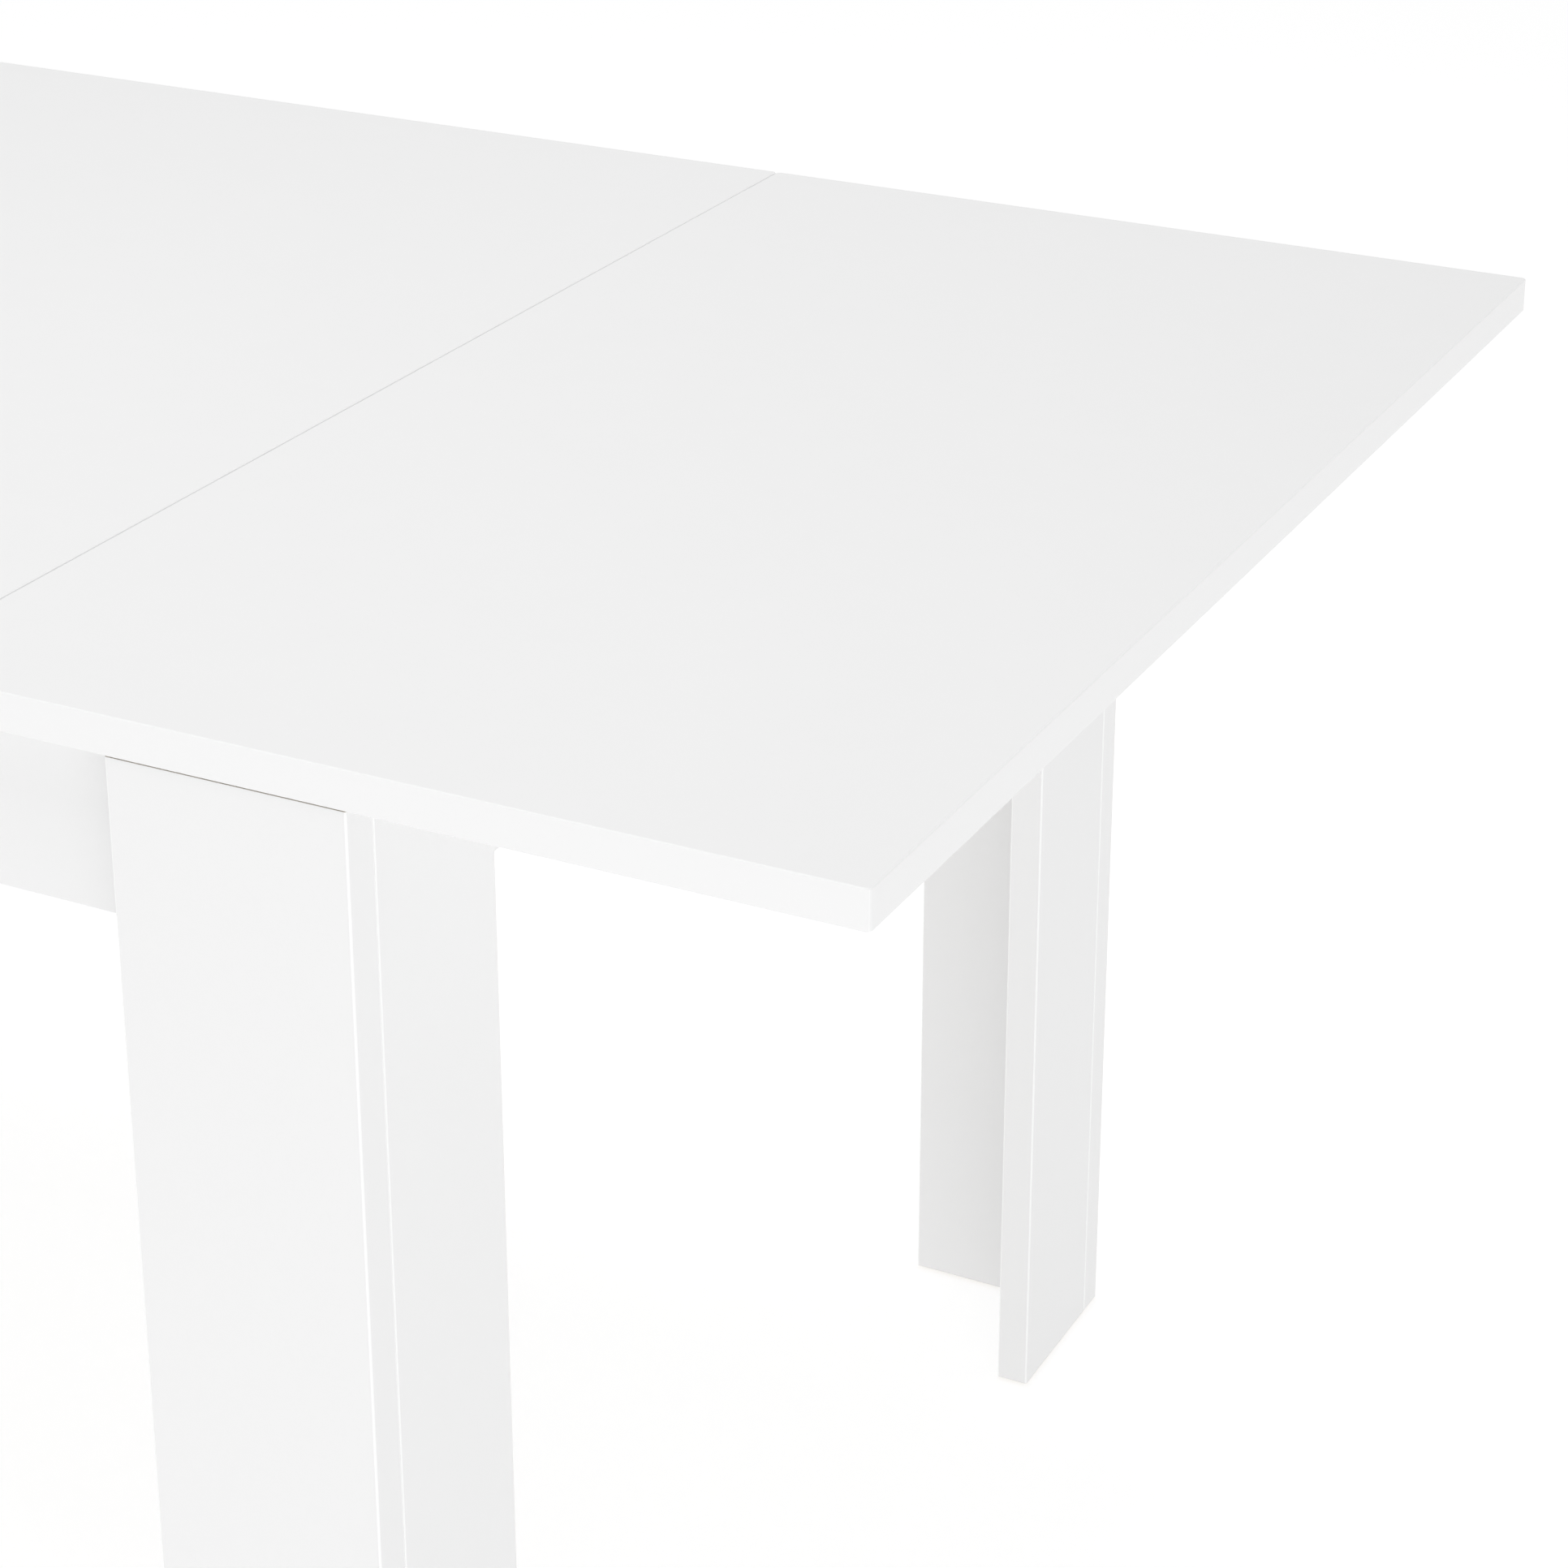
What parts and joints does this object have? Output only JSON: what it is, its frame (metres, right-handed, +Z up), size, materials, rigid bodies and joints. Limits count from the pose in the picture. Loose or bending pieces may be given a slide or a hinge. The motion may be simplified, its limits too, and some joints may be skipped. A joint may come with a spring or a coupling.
{
  "type": "extension dining table",
  "caption": "Rectangular white board table with L-shaped corner legs; its top slides on the base so that a fold-over end leaf opens flat, half over the frame.",
  "frame": {"origin": "on the floor, under the middle of the open table", "axes": "+X along the table towards the leaf, +Y towards the rear, +Z up"},
  "size_m": [1.9, 0.9, 0.78],
  "materials": {
    "melamine_top": "satin white melamine-faced board with eased plastic edging",
    "melamine_board": "satin white melamine-faced board with eased plastic edging",
    "bare_wood": "planed bare softwood",
    "white_plastic": "moulded white nylon",
    "black_plastic": "moulded black nylon",
    "aluminium_channel": "extruded, satin",
    "plated_steel": "zinc plated"
  },
  "bodies": {
    "base": {"apron_front": "melamine_board", "apron_left": "melamine_board", "apron_rear": "melamine_board", "apron_right": "melamine_board", "corner_block_left_front": "bare_wood", "corner_block_left_rear": "bare_wood", "corner_block_right_front": "bare_wood", "corner_block_right_rear": "bare_wood", "cross_rail_left": "melamine_board", "cross_rail_right": "melamine_board", "glide_end_board_left_front": "white_plastic", "glide_end_board_left_rear": "white_plastic", "glide_end_board_right_front": "white_plastic", "glide_end_board_right_rear": "white_plastic", "glide_side_board_left_front": "white_plastic", "glide_side_board_left_rear": "white_plastic", "glide_side_board_right_front": "white_plastic", "glide_side_board_right_rear": "white_plastic", "guide_front": "aluminium_channel", "guide_rear": "aluminium_channel", "guide_stop_left_front": "black_plastic", "guide_stop_left_rear": "black_plastic", "guide_stop_right_front": "black_plastic", "guide_stop_right_rear": "black_plastic", "leg_bolt_left_front": "plated_steel", "leg_bolt_left_rear": "plated_steel", "leg_bolt_right_front": "plated_steel", "leg_bolt_right_rear": "plated_steel", "leg_end_board_left_front": "melamine_board", "leg_end_board_left_rear": "melamine_board", "leg_end_board_right_front": "melamine_board", "leg_end_board_right_rear": "melamine_board", "leg_side_board_left_front": "melamine_board", "leg_side_board_left_rear": "melamine_board", "leg_side_board_right_front": "melamine_board", "leg_side_board_right_rear": "melamine_board", "slide_button_left_front": "white_plastic", "slide_button_left_rear": "white_plastic", "slide_button_right_front": "white_plastic", "slide_button_right_rear": "white_plastic"},
    "sliding_top": {"hinge_case_top_front": "plated_steel", "hinge_case_top_middle": "plated_steel", "hinge_case_top_rear": "plated_steel", "main_top": "melamine_top", "runner_front": "bare_wood", "runner_rear": "bare_wood", "runner_tongue_front": "white_plastic", "runner_tongue_rear": "white_plastic", "top_batten_left": "bare_wood", "top_batten_right": "bare_wood"},
    "hinge_links": {"hinge_link_front": "plated_steel", "hinge_link_middle": "plated_steel", "hinge_link_rear": "plated_steel"},
    "leaf": {"hinge_case_leaf_front": "plated_steel", "hinge_case_leaf_middle": "plated_steel", "hinge_case_leaf_rear": "plated_steel", "leaf_top": "melamine_top"}
  },
  "joints": [
    {"name": "top_slide", "type": "slide", "parent": "base", "child": "sliding_top", "axis": [1, 0, 0], "range_m": [0, 0.25]},
    {"name": "leaf_fold", "type": "hinge", "parent": "sliding_top", "child": "leaf", "pos_m": [0.45, 0, 0.781], "axis": [0, -1, 0], "range_deg": [0, 180]},
    {"name": "link_turn", "type": "hinge", "parent": "sliding_top", "child": "hinge_links", "pos_m": [0.45, 0, 0.781], "axis": [0, -1, 0], "range_deg": [0, 90]}
  ],
  "couplings": [
    {"joint": "link_turn", "follows": "leaf_fold", "ratio": 0.5}
  ]
}
